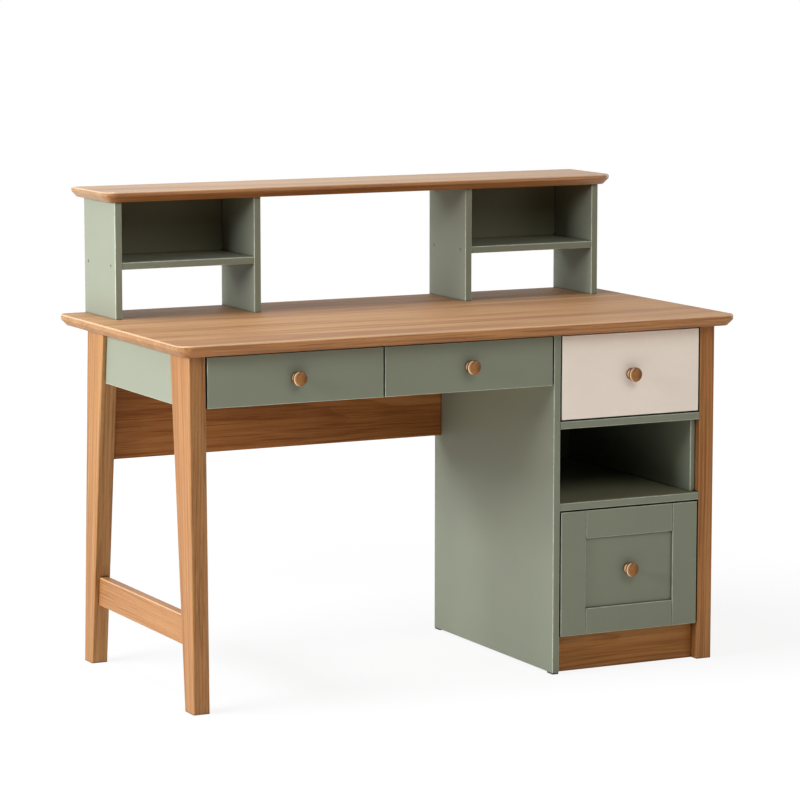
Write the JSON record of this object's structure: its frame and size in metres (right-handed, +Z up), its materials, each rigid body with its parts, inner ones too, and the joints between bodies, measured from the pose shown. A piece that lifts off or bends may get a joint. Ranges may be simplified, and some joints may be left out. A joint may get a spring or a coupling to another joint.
{
  "type": "student desk with hutch",
  "caption": "Desk with splayed oak legs at the left, a green drawer pedestal at the right, shallow drawers between, and a low open hutch along the back.",
  "frame": {"origin": "on the floor, under the middle of the worktop", "axes": "+X along the desk to the pedestal's end, -Y to the sitter, +Z up"},
  "size_m": [1.29, 0.67, 1.02],
  "materials": {
    "oak": "oak veneer and solid oak under a warm, satin clear lacquer; grain along each board",
    "oak_knob": "turned oak, satin clear lacquer",
    "green_paint": "sage green satin lacquer on fibreboard",
    "cream_paint": "warm cream satin lacquer on fibreboard",
    "drawer_wood": "pale plywood, clear lacquer",
    "drawer_bottom": "thin pale plywood",
    "runner_steel": "zinc-plated rolled steel",
    "screw_steel": "zinc-plated steel",
    "dark_screw": "burnished steel",
    "black_plastic": "black moulded plastic"
  },
  "bodies": {
    "desk": {"worktop": "oak", "hutch_top": "oak", "left_front_leg": "oak", "left_back_leg": "oak", "left_stretcher": "oak", "back_apron": "oak", "right_front_post": "oak", "right_back_post": "oak", "kick_board": "oak", "hutch_left_outer_side": "green_paint", "hutch_left_inner_side": "green_paint", "hutch_right_inner_side": "green_paint", "hutch_right_outer_side": "green_paint", "hutch_left_shelf": "green_paint", "hutch_right_shelf": "green_paint", "hutch_left_back": "green_paint", "hutch_right_back": "green_paint", "left_apron": "green_paint", "drawer_divider": "green_paint", "pedestal_left_side": "green_paint", "pedestal_right_side": "green_paint", "pedestal_upper_shelf": "green_paint", "pedestal_lower_shelf": "green_paint", "pedestal_back": "green_paint", "pedestal_floor": "green_paint", "left_runner_batten": "drawer_wood", "foot_glides": "black_plastic", "hutch_shelf_screws": "dark_screw", "cabinet_runners": "runner_steel"},
    "left_pencil_drawer": {"left_pencil_sides": "drawer_wood", "left_pencil_back": "drawer_wood", "left_pencil_bottom": "drawer_bottom", "left_pencil_knob": "oak_knob", "left_pencil_knob_screw": "screw_steel", "left_pencil_runners": "runner_steel", "left_pencil_front": "green_paint"},
    "right_pencil_drawer": {"right_pencil_sides": "drawer_wood", "right_pencil_back": "drawer_wood", "right_pencil_bottom": "drawer_bottom", "right_pencil_knob": "oak_knob", "right_pencil_knob_screw": "screw_steel", "right_pencil_runners": "runner_steel", "right_pencil_front": "green_paint"},
    "upper_pedestal_drawer": {"upper_drawer_sides": "drawer_wood", "upper_drawer_back": "drawer_wood", "upper_drawer_bottom": "drawer_bottom", "upper_drawer_knob": "oak_knob", "upper_drawer_knob_screw": "screw_steel", "upper_drawer_runners": "runner_steel", "upper_drawer_front": "cream_paint"},
    "deep_pedestal_drawer": {"deep_drawer_sides": "drawer_wood", "deep_drawer_back": "drawer_wood", "deep_drawer_bottom": "drawer_bottom", "deep_drawer_knob": "oak_knob", "deep_drawer_knob_screw": "screw_steel", "deep_drawer_runners": "runner_steel", "deep_drawer_front_frame": "green_paint", "deep_drawer_front_panel": "green_paint"},
    "upper_middle_members": {"upper_drawer_middle_runners": "runner_steel"},
    "deep_middle_members": {"deep_drawer_middle_runners": "runner_steel"}
  },
  "joints": [
    {"name": "left_pencil_slide", "type": "slide", "parent": "desk", "child": "left_pencil_drawer", "axis": [0, -1, 0], "range_m": [0, 0.28]},
    {"name": "right_pencil_slide", "type": "slide", "parent": "desk", "child": "right_pencil_drawer", "axis": [0, -1, 0], "range_m": [0, 0.28]},
    {"name": "upper_drawer_slide", "type": "slide", "parent": "desk", "child": "upper_pedestal_drawer", "axis": [0, -1, 0], "range_m": [0, 0.4]},
    {"name": "deep_drawer_slide", "type": "slide", "parent": "desk", "child": "deep_pedestal_drawer", "axis": [0, -1, 0], "range_m": [0, 0.4]},
    {"name": "upper_middle_slide", "type": "slide", "parent": "desk", "child": "upper_middle_members", "axis": [0, -1, 0], "range_m": [0, 0.2]},
    {"name": "deep_middle_slide", "type": "slide", "parent": "desk", "child": "deep_middle_members", "axis": [0, -1, 0], "range_m": [0, 0.2]}
  ],
  "couplings": [
    {"joint": "upper_middle_slide", "follows": "upper_drawer_slide", "ratio": 0.5},
    {"joint": "deep_middle_slide", "follows": "deep_drawer_slide", "ratio": 0.5}
  ]
}
